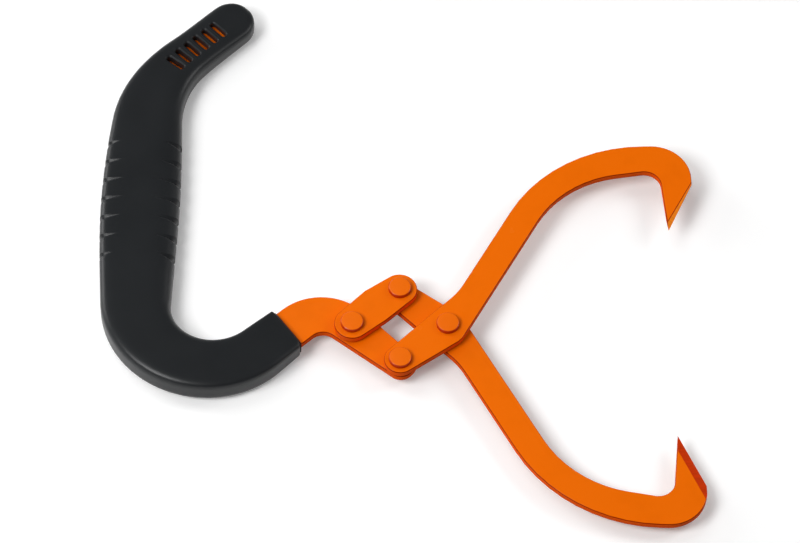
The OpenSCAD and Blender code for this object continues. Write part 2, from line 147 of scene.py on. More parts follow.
def new_material(name):
    """An empty node material: its tree, its place coordinates and its output node."""
    material = bpy.data.materials.new(name)
    material.use_nodes = True
    tree = material.node_tree
    tree.nodes.clear()
    place = add_node(tree, "ShaderNodeTexCoord").outputs["Object"]
    output = add_node(tree, "ShaderNodeOutputMaterial")
    return material, tree, place, output


def per_metre(length_mm):
    """The scale of a pattern whose features are that far apart."""
    return 1 / (length_mm * MM)


print("orange paint in linear light:", [round(c, 3) for c in linear("#EE6C02")])

# %% [markdown]
# Powder-coated steel
# The plates are stamped from steel sheet and powder coated in a strong orange. The powder melts
# into a skin about 0.08 mm thick: satin rather than glossy, with the faint ripple called orange
# peel. It draws back from the rolled edges while it melts, so they have little gloss, and on the
# walls that the press has sheared the steel is rough and the skin duller. The deeper red along
# the rolled edges and the redder orange of the walls are painted shade, for the light that falls
# less on tilted parts. The real ripple is 1 to 2 mm from crest to crest, and a bump from noise at
# that scale breaks up the reflections. One function makes the satin faces and the dull walls: it
# mixes two colours and two amounts of gloss by how level the surface lies.

# %% Powder-coated steel
PEEL_SPACING = 1.6
PEEL_HEIGHT = 0.02
CLOUD_SPACING = 22
TILTED, LEVEL = 0.7, 0.98


def coated_steel(name, face, edge, roughness, specular, edge_specular):
    """Powder coat over steel: face colours level parts, edge is painted shade on tilted ones."""
    material, tree, place, output = new_material(name)
    normal = add_node(tree, "ShaderNodeNewGeometry").outputs["Normal"]
    upright = add_node(tree, "ShaderNodeSeparateXYZ", {"Vector": normal}).outputs["Z"]
    flatness = add_node(tree, "ShaderNodeMath", {0: upright}, operation="ABSOLUTE").outputs[0]
    share = add_node(tree, "ShaderNodeMapRange", {
        "Value": flatness, "From Min": TILTED, "From Max": LEVEL}).outputs["Result"]
    cloud = add_node(tree, "ShaderNodeTexNoise", {
        "Vector": place, "Scale": per_metre(CLOUD_SPACING), "Detail": 3}).outputs["Fac"]
    tone = add_node(tree, "ShaderNodeMapRange", {
        "Value": cloud, "From Min": 0.3, "From Max": 0.7, "To Min": -0.06, "To Max": 0.06})
    mixed = add_node(tree, "ShaderNodeMath", {
        0: share, 1: tone.outputs["Result"]}, operation="ADD", use_clamp=True)
    # The edge colour is painted shade: tilted faces are drawn darker and redder than level ones.
    colour = add_node(tree, "ShaderNodeMix", {
        "Factor": mixed.outputs[0], "A": linear(edge), "B": linear(face)}, data_type="RGBA")
    sheen = add_node(tree, "ShaderNodeMapRange", {
        "Value": mixed.outputs[0], "To Min": edge_specular, "To Max": specular})
    peel = add_node(tree, "ShaderNodeTexNoise", {
        "Vector": place, "Scale": per_metre(PEEL_SPACING), "Detail": 2, "Roughness": 0.45})
    ripple = add_node(tree, "ShaderNodeBump", {
        "Height": peel.outputs["Fac"], "Strength": 0.35, "Distance": PEEL_HEIGHT * MM})
    gloss = add_node(tree, "ShaderNodeMapRange", {
        "Value": cloud, "To Min": roughness - 0.05, "To Max": roughness + 0.05})
    shader = add_node(tree, "ShaderNodeBsdfPrincipled", {
        "Base Color": colour.outputs["Result"], "Roughness": gloss.outputs["Result"],
        "IOR": 1.5, "Specular IOR Level": sheen.outputs["Result"],
        "Normal": ripple.outputs["Normal"]})
    tree.links.new(shader.outputs["BSDF"], output.inputs["Surface"])
    return material


# The edge colours are painted shade: deep red on the rolled plate edges, a redder orange on the sheared walls,
# dark red on the rivet rims.
plate_paint = coated_steel("powder_coated_steel_plate", "#F06C00", "#961C00", 0.25, 0.14, 0)
wall_paint = coated_steel("powder_coated_sheared_edge_painted_shade", "#F06C00", "#F25A08", 0.6, 0.04, 0.04)
rivet_paint = coated_steel("powder_coated_steel_rivet", "#F06C00", "#B83000", 0.25, 0.3, 0.3)
# The washer is the same orange coat drawn darker all over, as painted shade for its place between the plates.
washer_paint = coated_steel("powder_coated_steel_washer_painted_shade", "#D85000", "#C03400", 0.5, 0.1, 0.1)
coats = (plate_paint, wall_paint, rivet_paint, washer_paint)
print("coated steel materials:", *(coat.name for coat in coats))

# %% [markdown]
# Ground and coated bevel
# The end of each hook is ground to an edge on a belt before coating. The belt leaves fine lines
# square to the edge, about 0.3 mm apart, and the powder softens them. They are drawn at 0.8 mm,
# because finer ones would fall between the pixels. The lines are noise that changes fast along
# the ground side of the hook and slowly across it, so each hook gets its own turn.

# %% Ground bevel
BELT_SPACING = 0.8
BELT_DEPTH = 0.03
BELT_STRETCH = (1, 0.05, 0.05)


def ground_steel(name, colour, line_angle):
    """A ground face under powder coat, with belt lines square to the line at line_angle."""
    material, tree, place, output = new_material(name)
    turned_place = add_node(tree, "ShaderNodeMapping", {
        "Vector": place, "Rotation": (0, 0, -line_angle)}, vector_type="POINT")
    streaks = add_node(tree, "ShaderNodeTexNoise", {
        "Vector": add_node(tree, "ShaderNodeVectorMath", {
            0: turned_place.outputs["Vector"], 1: BELT_STRETCH},
            operation="MULTIPLY").outputs["Vector"],
        "Scale": per_metre(BELT_SPACING), "Detail": 2})
    shade = add_node(tree, "ShaderNodeMapRange", {
        "Value": streaks.outputs["Fac"], "From Min": 0.3, "From Max": 0.7,
        "To Min": 0.88, "To Max": 1.08})
    tone = add_node(tree, "ShaderNodeVectorMath", {
        0: linear(colour)[:3], "Scale": shade.outputs["Result"]}, operation="SCALE")
    lines = add_node(tree, "ShaderNodeBump", {
        "Height": streaks.outputs["Fac"], "Strength": 0.4, "Distance": BELT_DEPTH * MM})
    shader = add_node(tree, "ShaderNodeBsdfPrincipled", {
        "Base Color": tone.outputs["Vector"], "Roughness": 0.4, "IOR": 1.5,
        "Specular IOR Level": 0.04, "Normal": lines.outputs["Normal"]})
    tree.links.new(shader.outputs["BSDF"], output.inputs["Surface"])
    return material


print("belt lines are drawn", BELT_SPACING, "mm apart")

# %% [markdown]
# Moulded grip plastic
# The grip is one moulding in black impact-modified nylon, shot round the bar. Spark erosion in
# the mould leaves an even grain, about 0.15 mm, that scatters light, so the black reads as dark
# grey wherever a soft light is mirrored. The grain is drawn at 0.5 mm so that it shows, and a
# slow change in roughness stands for the way the melt meets the cooler mould wall.

# %% Moulded grip plastic
GRAIN_SPACING = 0.5
GRAIN_DEPTH = 0.03
FLOW_SPACING = 30


def moulded_nylon():
    """Black moulded nylon with a spark-eroded grain."""
    material, tree, place, output = new_material("spark_textured_nylon")
    cloud = add_node(tree, "ShaderNodeTexNoise", {
        "Vector": place, "Scale": per_metre(FLOW_SPACING), "Detail": 3}).outputs["Fac"]
    grain = add_node(tree, "ShaderNodeTexNoise", {
        "Vector": place, "Scale": per_metre(GRAIN_SPACING), "Detail": 2, "Roughness": 0.6})
    colour = add_node(tree, "ShaderNodeMix", {
        "Factor": cloud, "A": linear("#1D1F21"), "B": linear("#232527")}, data_type="RGBA")
    gloss = add_node(tree, "ShaderNodeMapRange", {
        "Value": cloud, "To Min": 0.32, "To Max": 0.4})
    texture = add_node(tree, "ShaderNodeBump", {
        "Height": grain.outputs["Fac"], "Strength": 0.5, "Distance": GRAIN_DEPTH * MM})
    shader = add_node(tree, "ShaderNodeBsdfPrincipled", {
        "Base Color": colour.outputs["Result"], "Roughness": gloss.outputs["Result"],
        "IOR": 1.52, "Specular IOR Level": 0.31, "Normal": texture.outputs["Normal"]})
    tree.links.new(shader.outputs["BSDF"], output.inputs["Surface"])
    return material


grip_plastic = moulded_nylon()
print("grip material:", grip_plastic.name)

# %% [markdown]
# Making a piece
# Every piece below ends the same way: its points go from millimetres to metres, it gets its
# materials, it rides on the body of the frame that carries its node, and that node is hidden.
# A single function does that last step for all of them.

# %% Piece helper


def dress(mesh, name, node, slot_name, *materials):
    """Puts a mesh in the scene as the piece that stands for a node of the frame."""
    piece = bpy.data.objects.new(name, mesh)
    bpy.context.scene.collection.objects.link(piece)
    for material in materials:
        mesh.materials.append(material)
    body = next(b for b, nodes in frame["record"]["behaviour"]["bodies"].items() if node in nodes)
    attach(piece, body)
    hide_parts(node)
    print(f"{name}: {len(mesh.polygons)} faces, rides on {body}")
    return piece


# %% [markdown]
# Outline of a plate
# A stamped plate is one outline pushed through the sheet. The frame already has that outline, so
# the plate's mesh is cut at one height and the cut is followed round as closed loops. Points in
# the middle of straight runs are dropped. The material lies on the left of every loop, so the
# outer one runs counterclockwise and the bores clockwise.

# %% Outline loops
STRAIGHT = math.radians(0.3)
WELD = 0.001
CUT_TOLERANCE = 1e-8


def turn_at(before, here, after):
    """How far an outline turns at one point, in radians, positive to the left."""
    a = here - before
    b = after - here
    return math.atan2(a.cross(b), a.dot(b))


def signed_area(loop):
    """The area inside a loop in square mm, negative if it runs clockwise."""
    return sum(loop[i - 1].cross(loop[i]) for i in range(len(loop))) / 2


def outline_loops(node, height):
    """The closed loops of a node's mesh cut at a height in mm, the outer one first."""
    cut = bmesh.new()
    cut.from_mesh(frame["nodes"][node].data)
    bmesh.ops.remove_doubles(cut, verts=cut.verts[:], dist=WELD * MM)
    bmesh.ops.bisect_plane(
        cut, geom=cut.verts[:] + cut.edges[:] + cut.faces[:], dist=CUT_TOLERANCE,
        plane_co=(0, 0, height * MM), plane_no=(0, 0, 1), clear_inner=True, clear_outer=True)
    waiting = set(cut.verts)
    loops = []
    for start in cut.verts:
        if start not in waiting:
            continue
        waiting.remove(start)
        here = start
        loop = [here]
        while True:
            ahead = [e.other_vert(here) for e in here.link_edges]
            ahead = [v for v in ahead if v in waiting]
            if not ahead:
                break
            here = ahead[0]
            waiting.remove(here)
            loop.append(here)
        points = [v.co.to_2d() / MM for v in loop]
        count = len(points)
        loops.append([
            points[i] for i in range(count)
            if abs(turn_at(points[i - 1], points[i], points[(i + 1) % count])) > STRAIGHT])
    cut.free()
    loops.sort(key=lambda loop: -abs(signed_area(loop)))
    return [
        loop if (signed_area(loop) > 0) == (i == 0) else loop[::-1]
        for i, loop in enumerate(loops)]


link_loops = outline_loops("link", (front_bottom + front_top) / 2)
print("points in the loops of the link:", [len(loop) for loop in link_loops])

# %% [markdown]
# Plates with soft edges
# A modifier could bevel the edges, but it leaves the shading of a large flat face uneven where
# the face meets many thin ones. So the rounding is drawn as rings: each ring moves the outline
# inwards along its mitres by a quarter circle's amount. The true direction of the surface is kept
# with every point and set as its normal, so flat faces stay flat and the edge rolls over evenly.

# %% Mitres of an outline


def mitres(loop):
    """At each point, the shift that moves both of its sides inwards by 1 mm."""
    count = len(loop)
    shifts = []
    for i in range(count):
        before = (loop[i] - loop[i - 1]).normalized()
        after = (loop[(i + 1) % count] - loop[i]).normalized()
        inward = [Vector((-side.y, side.x)) for side in (before, after)]
        shifts.append((inward[0] + inward[1]) / (1 + inward[0].dot(inward[1])))
    return shifts


sharpest = max(shift.length for shift in mitres(link_loops[0]))
print("longest mitre of the link:", round(sharpest, 3), "mm for each mm")

# %% [markdown]
# Building the plate
# The walls come first, ring upon ring, and then a flat cap closes each side. A cap is filled by
# tessellation, because one face with bores in it can't be a single polygon. Faces get a number for
# their finish here: the paint of the faces, that of the sheared wall, and later the ground ones.

# %% Rounded plate
EDGE_RADIUS = 0.65
EDGE_STEPS = 5
FACE_PAINT, WALL_PAINT, WEDGE_GROUND, WIDE_GROUND, BURR_PAINTED_SHADE = range(5)


def rounded_plate(loops, bottom, top, radius):
    """A bmesh plate between two heights, with its outer edges rounded; bores stay square."""
    plate = bmesh.new()
    direction = plate.verts.layers.float_vector.new("direction")
    profile = []
    for k in range(EDGE_STEPS + 1):
        a = math.pi / 2 * k / EDGE_STEPS
        inset, height = radius * (1 - math.sin(a)), bottom + radius * (1 - math.cos(a))
        profile.append((inset, height, -math.cos(a)))
    profile += [(inset, bottom + top - height, -slope) for inset, height, slope in profile[::-1]]
    caps = ([], [])
    for number, loop in enumerate(loops):
        shifts = mitres(loop)
        rings = profile if number == 0 else [(0, bottom, 0), (0, top, 0)]
        rows = []
        for inset, height, slope in rings:
            row = []
            for point, shift in zip(loop, shifts):
                x, y = point + shift * inset
                vert = plate.verts.new(Vector((x, y, height)) * MM)
                out = -shift.normalized() * math.sqrt(1 - slope * slope)
                vert[direction] = (out.x, out.y, slope)
                row.append(vert)
            rows.append(row)
        count = len(loop)
        for level, (low, high) in enumerate(zip(rows, rows[1:])):
            for i in range(count):
                j = (i + 1) % count
                side = plate.faces.new((low[i], low[j], high[j], high[i]))
                side.smooth = True
                is_wall = level == len(rows) // 2 - 1
                side.material_index = WALL_PAINT if is_wall else FACE_PAINT
        caps[0].append(rows[0])
        caps[1].append(rows[-1])
    for rows, is_top in zip(caps, (False, True)):
        verts = [v for row in rows for v in row]
        flat = [[v.co.to_2d().to_3d() for v in row] for row in rows]
        for corners in tessellate_polygon(flat):
            face = plate.faces.new([verts[i] for i in corners])
            face.normal_update()
            if (face.normal.z > 0) != is_top:
                face.normal_flip()
            face.smooth = False
    return plate


print("plate edges are rounded over", EDGE_RADIUS, "mm in", EDGE_STEPS, "steps")

# %% [markdown]
# Normals of the plate
# Flat faces take their own normal, and rounded ones the direction that was kept with each point.
# Set like this, a large flat face stays evenly shaded right up to its rolled edge.

# %% Plate mesh


def finish_plate(plate, name):
    """The plate as a mesh, with true normals: flat faces their own, rounded ones the kept ones."""
    mesh = bpy.data.meshes.new(name)
    plate.normal_update()
    direction = plate.verts.layers.float_vector["direction"]
    normals = []
    for face in plate.faces:
        for corner in face.loops:
            kept = corner.vert[direction].normalized()
            normals.append(kept if face.smooth else face.normal.copy())
        face.smooth = True
    plate.to_mesh(mesh)
    plate.free()
    mesh.normals_split_custom_set(normals)
    return mesh


print("finishes that a face of a plate can have:", BURR_PAINTED_SHADE + 1)

# %% [markdown]
# Handle bar and link
# Both are plain stampings: the bar runs on inside the grip to its far end, and only its bent
# neck shows. They are built straight from their outlines.

# %% Handle bar and link
bar_loops = outline_loops("handle_bar", (back_bottom + back_top) / 2)
bar_plate = rounded_plate(bar_loops, back_bottom, back_top, EDGE_RADIUS)
dress(finish_plate(bar_plate, "handle_bar_stamping"), "handle_bar_stamping", "handle_bar",
      "painted_plate", plate_paint, wall_paint)
link_plate = rounded_plate(link_loops, front_bottom, front_top, EDGE_RADIUS)
dress(finish_plate(link_plate, "link_stamping"), "link_stamping", "link",
      "painted_plate", plate_paint, wall_paint)

# %% [markdown]
# Ground ends of the hooks
# The two hooks are the same stamping, one of them turned over. Their ends are ground from both
# sides to one edge. The bevel on one side is wide and even, and the one on the other side is a
# wedge that all but runs out at the corner of the hook and is widest at its point. Each is a
# plane through three points, so the finished plate is cut by tilted planes, and each open cut is
# closed with a face of its own that takes the ground finish. Beside the wedge, the burr is brushed
# off at a low angle, which leaves a thin facet. All of them keep the same orange coat: the wedge
# is drawn lighter as painted highlight, the wide bevel and thin facet darker as painted shade.

# %% Grinding
GRIND_TOLERANCE = 1e-7


def grind(plate, points, finish):
    """Cuts off what lies beyond the plane through three points, seen from the plate's middle."""
    a, b, c = (Vector(point) * MM for point in points)
    normal = (b - a).cross(c - a).normalized()
    middle = sum((v.co for v in plate.verts), Vector()) / len(plate.verts)
    if normal.dot(middle - a) > 0:
        normal = -normal
    bmesh.ops.bisect_plane(
        plate, geom=plate.verts[:] + plate.edges[:] + plate.faces[:], dist=GRIND_TOLERANCE,
        plane_co=a, plane_no=normal, clear_outer=True)
    rim = [edge for edge in plate.edges if edge.is_boundary]
    for face in bmesh.ops.edgeloop_fill(plate, edges=rim)["faces"]:
        face.normal_update()
        if face.normal.dot(normal) < 0:
            face.normal_flip()
        face.smooth = False
        face.material_index = finish


print(f"a point within {GRIND_TOLERANCE / MM:.4f} mm of a ground plane lies on it")

# %% [markdown]
# The two hooks
# The side to be ground is found in the outline itself: it is the longest straight one near the tip.
# All planes are set by how far in from that side they start, on one face of the plate or at the
# height of the edge. The belt leaves a hair of the side standing, so the hook keeps its outline.

# %% Hooks
EDGE_DEPTH = 1.6
SLICE_SHIFT = 0.01
TIP_ZONE = 40
WEDGE_AT_POINT = 3.4
WEDGE_AT_CORNER = 0.8
WIDE_BEVEL = 6
GRIND_ALLOWANCE = 0.02
BURR_W = 0.25
BURR_SLOPE = 0.25


def ground_line(loop):
    """The straight side of a hook's outline that is ground: the longest one near its tip."""
    reach = max(point.x for point in loop) - TIP_ZONE
    sides = [(loop[i - 1], loop[i]) for i in range(len(loop))]
    near_tip = [side for side in sides if min(side[0].x, side[1].x) > reach]
    return max(near_tip, key=lambda side: (side[1] - side[0]).length)


def hook(node, bottom, top, edge_height):
    """A hook with its wedge bevel on the face that is nearest to its edge."""
    near_face, far_face = (top, bottom) if edge_height > (bottom + top) / 2 else (bottom, top)
    outwards = math.copysign(1, near_face - edge_height)
    loops = outline_loops(node, edge_height + outwards * SLICE_SHIFT)
    plate = rounded_plate(loops, bottom, top, EDGE_RADIUS)
    start, end = ground_line(loops[0])
    angle = math.atan2(*(end - start).yx)
    point, corner = sorted((start, end), key=lambda p: p.x)
    inward = Vector((start.y - end.y, end.x - start.x)).normalized()

    def inside(at, inset, height):
        """The point that far in from a place on the ground side, at a height."""
        return (*(at + inward * inset), height)

    burr_foot = near_face - outwards * BURR_SLOPE
    grind(plate, [inside(point, WEDGE_AT_POINT + BURR_W - 1, burr_foot),
                  inside(corner, WEDGE_AT_CORNER + BURR_W, near_face),
                  inside(point, WEDGE_AT_POINT + BURR_W, near_face)], BURR_PAINTED_SHADE)
    grind(plate, [inside(point, GRIND_ALLOWANCE, edge_height),
                  inside(corner, WEDGE_AT_CORNER, near_face),
                  inside(point, WEDGE_AT_POINT, near_face)], WEDGE_GROUND)
    grind(plate, [inside(point, GRIND_ALLOWANCE, edge_height),
                  inside(corner, GRIND_ALLOWANCE, edge_height),
                  inside(point, WIDE_BEVEL, far_face)], WIDE_GROUND)
    print(f"{node}: {(end - start).length:.1f} mm ground at {math.degrees(angle):.1f} degrees")
    name = node + "_stamping"
    # The bevel colours are painted light: the wedge's yellow orange is a painted highlight, and the wide bevel's
    # deeper red and the burr facet's dark red are painted shade.
    wedge = ground_steel(node + "_wedge_bevel_painted_highlight", "#FF8A14", angle)
    wide = ground_steel(node + "_wide_bevel_painted_shade", "#E03C00", angle)
    burr = ground_steel(node + "_burr_painted_shade", "#A01C00", angle)
    return dress(finish_plate(plate, name), name, node, "painted_plate",
                 plate_paint, wall_paint, wedge, wide, burr)


hook("upper_hook", front_bottom, front_top, front_top - EDGE_DEPTH)
hook("lower_hook", back_bottom, back_top, back_bottom + EDGE_DEPTH)

# %% [markdown]
# Rivets and washers
# The rivets are turned pins whose ends are pressed into flat heads. Pressing rounds the rim and
# leaves the face a hair higher in the middle. A washer between the two layers of plate keeps
# them apart. Both are bodies of revolution, so a profile of radius and height is spun round Z.

# %% Lathe
LATHE_STEPS = 96
TURNED_CREASE = math.radians(30)


def lathe(name, centre, profile):
    """A closed mesh from a profile of (radius, height) in mm, spun round a vertical axis."""
    work = bmesh.new()
    rows = []
    for radius, height in profile:
        count = LATHE_STEPS if radius > 0 else 1
        row = []
        for i in range(count):
            a = 2 * math.pi * i / LATHE_STEPS
            x, y = centre + Vector((math.cos(a), math.sin(a))) * radius
            row.append(work.verts.new(Vector((x, y, height)) * MM))
        rows.append(row)
    closed = profile[0][0] > 0
    for low, high in zip(rows, rows[1:] + (rows[:1] if closed else [])):
        for i in range(LATHE_STEPS):
            j = (i + 1) % LATHE_STEPS
            corners = [low[i % len(low)], low[j % len(low)]]
            corners += [high[j % len(high)], high[i % len(high)]]
            corners = [v for k, v in enumerate(corners) if v != corners[k - 1]]
            work.faces.new(corners).smooth = True
    mesh = bpy.data.meshes.new(name)
    work.to_mesh(mesh)
    work.free()
    mesh.set_sharp_from_angle(angle=TURNED_CREASE)
    return mesh


def arc(centre_radius, centre_height, radius, first, last, steps):
    """Points of an arc in a profile, with its angles in degrees from straight outwards."""
    angles = [math.radians(first + (last - first) * k / steps) for k in range(steps + 1)]
    return [
        (centre_radius + radius * math.cos(a), centre_height + radius * math.sin(a))
        for a in angles]


print("turned pieces have", LATHE_STEPS, "faces round")

# %% [markdown]
# Profiles of rivets and washers
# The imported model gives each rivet's height, and the two heads share what the plates leave of it.
# Rivet and washer of a pivot are made together, because they stand on the same axis.

# %% Rivets and washers
SHANK_D = 8
HEAD_D = 14.6
RIM_RADIUS = 0.8
RIM_STEPS = 6
CROWN = 0.12
CROWN_STEPS = 4
SEAT_CHAMFER = 0.15
END_PLAY = 0.1
WASHER_D = 18
WASHER_RIM = 0.15
WASHER_STEPS = 3
BORE_GAP = 0.05
rivets = {"rear": rear_pivot, "link": link_pivot, "main": main_pivot, "front": front_pivot}


def head(face_height, seat_height):
    """The profile of a head from the middle of its face out to the rim and in to the shank."""
    side = math.copysign(1, face_height - seat_height)
    edge = HEAD_D / 2 - RIM_RADIUS
    shares = [k / CROWN_STEPS for k in range(CROWN_STEPS + 1)]
    face = [(edge * share, face_height - side * CROWN * share ** 2) for share in shares]
    rim_centre = face_height - side * (CROWN + RIM_RADIUS)
    rim = arc(edge, rim_centre, RIM_RADIUS, side * 90, 0, RIM_STEPS)
    seat = [
        (HEAD_D / 2, seat_height + side * SEAT_CHAMFER),
        (HEAD_D / 2 - SEAT_CHAMFER, seat_height), (SHANK_D / 2, seat_height)]
    return face + rim[1:] + seat


def washer_profile(low, high):
    """The profile of a washer between two heights, with its outer rims rounded."""
    inner, outer = SHANK_D / 2 + BORE_GAP, WASHER_D / 2
    ring = arc(outer - WASHER_RIM, low + WASHER_RIM, WASHER_RIM, -90, 0, WASHER_STEPS)
    ring += arc(outer - WASHER_RIM, high - WASHER_RIM, WASHER_RIM, 0, 90, WASHER_STEPS)
    return ring + [(inner, high), (inner, low)]


for rivet, pivot in rivets.items():
    low, high = (corner.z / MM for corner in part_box(rivet + "_rivet"))
    thick = (high - low - (front_top - back_bottom) - END_PLAY) / 2
    profile = head(low, low + thick) + head(high, high - thick)[::-1]
    dress(lathe(rivet + "_rivet_turned", pivot, profile), rivet + "_rivet_turned",
          rivet + "_rivet", "painted_rivet", rivet_paint)
    low, high = (corner.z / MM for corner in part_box(rivet + "_washer"))
    ring = lathe(rivet + "_washer_stamped", pivot, washer_profile(low, high))
    dress(ring, rivet + "_washer_stamped", rivet + "_washer", "washer", washer_paint)

# %% [markdown]
# Path of the grip
# The grip is one sweep: a section that changes its width and thickness is carried along a line
# of five stretches, which are the neck, the lower bend, the hand part, the upper bend and the
# straight top arm. Each stretch is a length and a turn, so every place along the line has a
# point and a heading.

# %% Path of the grip
BAR_W = 27.6
BEND_BACK = 18.2
BEND_DROP = 13.2
BEND_INNER_R = 10
BAR_OUT = 8.8
NECK_ANGLE = 42.4
NECK_LEN = 23.9
LOWER_R = 48
LOWER_TURN = 132
HAND_LEN = 139
HAND_TURN = 3.4
UPPER_R = 85
UPPER_TURN = 42
TOP_LEN = 41


def forward(point, angle, distance):
    """The point that far ahead on a heading in degrees."""
    a = math.radians(angle)
    return point + Vector((math.cos(a), math.sin(a))) * distance


def leftward(point, angle, distance):
    """The point that far to the left of a heading in degrees."""
    return forward(point, angle + 90, distance)


def step_on(point, angle, length, turn):
    """The end of an arc of that length and turn, or of a straight run if it has no turn."""
    half = math.radians(turn / 2)
    return forward(point, angle + turn / 2, length * (math.sin(half) / half if half else 1))


stretches = [
    (NECK_LEN, 0), (LOWER_R * math.radians(LOWER_TURN), -LOWER_TURN), (HAND_LEN, -HAND_TURN),
    (UPPER_R * math.radians(UPPER_TURN), -UPPER_TURN), (TOP_LEN, 0)]
bend_centre = rear_pivot - Vector((BEND_BACK, BEND_DROP))
neck_end = leftward(bend_centre, NECK_ANGLE, BEND_INNER_R + BAR_W / 2)
neck_end = forward(neck_end, NECK_ANGLE, -BAR_OUT)
knots = [(0, neck_end, NECK_ANGLE + 180)]
for length, turn in stretches:
    place, point, angle = knots[-1]
    knots.append((place + length, step_on(point, angle, length, turn), angle + turn))
neck_to, hand_from, hand_to, top_from, path_len = (knot[0] for knot in knots[1:])


def on_path(place):
    """The point and the heading at a distance along the grip."""
    i = max([0] + [k for k in range(len(stretches)) if place >= knots[k][0]])
    start, point, angle = knots[i]
    length, turn = stretches[i]
    turned_by = turn * (place - start) / length
    return step_on(point, angle, place - start, turned_by), angle + turned_by


print(f"grip path {path_len:.1f} mm long, from {neck_end.x:.1f}, {neck_end.y:.1f}")

# %% [markdown]
# Section of the grip
# The section is a squared-off oval, widest in the hand. It is squarer on the outer side, where the
# palm lies, and rounder on the inner side, where the fingers close. Its half width, half thickness
# and squareness are given at a few places and a smooth curve runs through them that never
# overshoots, so the grip swells and tapers without bumps.

# %% Section of the grip
END_SQUARENESS = 4.2
WIDEST_AT = 0.55
lower_mid = (neck_to + hand_from) / 2
hand_mid = hand_from + HAND_LEN * WIDEST_AT
half_widths = [
    (0, 16.3), (lower_mid, 19.4), (hand_from, 22.7), (hand_mid, 25.7), (hand_to, 23.1),
    (top_from, 16.2), (path_len, 15.8)]
half_thicknesses = [
    (0, 6.8), (neck_to, 8.1), (lower_mid, 9.4), (hand_from, 10), (hand_to, 10),
    (top_from, 8.5), (path_len, 7)]
outer_squareness = [
    (0, 7), (lower_mid, 5), (hand_from, 5.5), (hand_mid, 6), (hand_to, 5.5),
    (top_from, 4.6), (path_len, END_SQUARENESS)]
inner_squareness = [
    (0, 7), (neck_to, 6), (lower_mid, 4.2), (hand_from, 3.2), (hand_mid, 2.9),
    (hand_to, 3.1), (top_from, 3.8), (path_len, END_SQUARENESS)]
print("the width is given at", [round(place) for place, half in half_widths], "mm")

# %% [markdown]
# Smooth curves and squared ovals
# Between two of its given points a curve is a cubic. Its steepness at a point is that of the line
# from the point before to the one after, or level where the curve turns back. The oval is an
# ellipse whose points are moved out along their rays: a squareness of 2 leaves the ellipse as it
# is, and a higher one fills its corners.

# %% Curves and ovals


def rise(a, b):
    """The steepness between two of a curve's points."""
    return (b[1] - a[1]) / (b[0] - a[0])


def slope_at(curve, i):
    """The steepness of the smooth curve at one of its points, level where it turns back."""
    if i == 0:
        return rise(curve[0], curve[1])
    if i == len(curve) - 1:
        return rise(curve[-2], curve[-1])
    if rise(curve[i - 1], curve[i]) * rise(curve[i], curve[i + 1]) <= 0:
        return 0
    return rise(curve[i - 1], curve[i + 1])


def smooth(curve, place):
    """The value of a smooth curve through its points."""
    i = max([0] + [k for k in range(len(curve) - 1) if place >= curve[k][0]])
    a, b = curve[i], curve[i + 1]
    gap = b[0] - a[0]
    t = max(0, min(1, (place - a[0]) / gap))
    bend = slope_at(curve, i) * (1 - t) - slope_at(curve, i + 1) * t
    straight = a[1] * (1 + 2 * t) * (1 - t) ** 2 + b[1] * (3 - 2 * t) * t * t
    return straight + gap * t * (1 - t) * bend


def section_point(w, t, a, n):
    """The point at angle a of an oval that is squared by n: across and up, in mm."""
    c, s = math.cos(a), math.sin(a)
    return Vector((w * c, t * s)) / (abs(c) ** n + abs(s) ** n) ** (1 / n)


def section_normal(w, t, q, n):
    """The outward direction of the squared oval at one of its points."""
    e = n - 1
    return Vector((
        math.copysign((abs(q.x) / w) ** e / w, q.x),
        math.copysign((abs(q.y) / t) ** e / t, q.y))).normalized()


print("half width in the hand:", round(smooth(half_widths, hand_mid), 1), "mm")

# %% [markdown]
# Finger notches
# Seven grooves cross each side of the hand part. Each starts as a point beside the flat middle
# and grows deeper and wider towards the side, with a wall that falls from its far edge and a
# slope that rises back to the surface. They are pressed into the sweep as a depth that depends on
# the place along the grip and across it.

# %% Finger notches
TO_FIRST_NOTCH = 34
NOTCH_COUNT = 7
NOTCH_PITCH = 14.6
NOTCH_DEPTH = 1.9
NOTCH_WALL = 2.6
NOTCH_SLOPE = 2.4
MIDDLE_SHARE = 0.32
OUTER_SHARE = 0.56
SHARE_SHIFT = 0.07
first_notch = hand_from + TO_FIRST_NOTCH
last_notch = first_notch + (NOTCH_COUNT - 1) * NOTCH_PITCH


def notch_start(k):
    """The share of the half width at which notch k starts."""
    off = (2 * k - NOTCH_COUNT + 1) / (NOTCH_COUNT - 1)
    return MIDDLE_SHARE + (OUTER_SHARE - MIDDLE_SHARE) * off * off


def notch_depth(place, u):
    """How deep the notches are at a place along the grip and a share of its half width."""
    deepest = 0
    for k in range(NOTCH_COUNT):
        back = first_notch + k * NOTCH_PITCH - place
        share = (abs(u - SHARE_SHIFT) - notch_start(k)) / (1 - notch_start(k))
        if 0 < back < NOTCH_WALL + NOTCH_SLOPE and share > 0:
            wall = back * NOTCH_DEPTH / NOTCH_WALL
            slope = NOTCH_DEPTH * (share - (back - NOTCH_WALL * share) / NOTCH_SLOPE)
            deepest = max(deepest, min(wall, slope))
    return deepest


deepest = max(notch_depth(first_notch - back / 10, 1) for back in range(60))
print("deepest notch:", round(deepest, 2), "mm")

# %% [markdown]
# Sweeping the grip
# Each ring is a section that stands on the path. In the hand the rings lie side by side, which
# keeps the notches parallel. The neck ends in a slant that fades out along it, and its outer corner
# is round. The top arm is closed with rings that shrink round a half circle.

# %% Rings of the grip
RING_POINTS = 160
NECK_SLANT = 5.5
LIP_LEN = 1
CORNER_R = 3
grip_mid = (back_bottom + back_top) / 2


